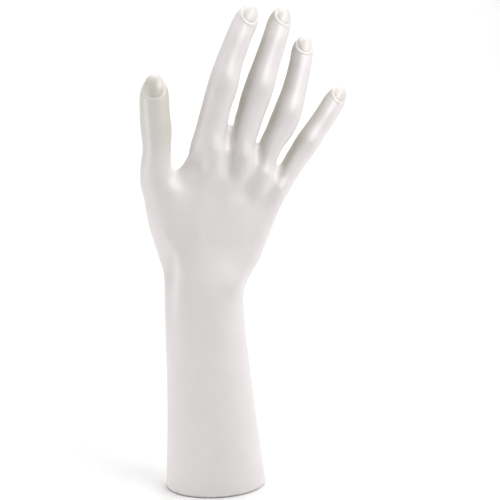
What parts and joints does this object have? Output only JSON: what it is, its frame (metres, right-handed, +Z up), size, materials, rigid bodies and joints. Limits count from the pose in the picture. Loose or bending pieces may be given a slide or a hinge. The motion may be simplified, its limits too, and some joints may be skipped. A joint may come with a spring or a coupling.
{
  "type": "hand jewelry stand",
  "caption": "Free-standing display hand on a forearm, with slender spread fingers for rings, a slim wrist for bracelets and watches, and a weighted flat foot.",
  "frame": {"origin": "centre of the foot pad's underside, on the surface that the stand rests on", "axes": "+Z up along the forearm, +X towards the little finger, -Y out of the back of the hand"},
  "size_m": [0.1298, 0.0658, 0.2812],
  "materials": {
    "pearl_plastic": "pearl white, glossy",
    "plug_plastic": "moulded, matt",
    "cast_ballast": "rough cast",
    "felt": "pressed felt"
  },
  "bodies": {
    "root": {"hand_shell": "pearl_plastic", "base_plug": "plug_plastic", "ballast_weight": "cast_ballast", "foot_pad": "felt"}
  },
  "joints": []
}
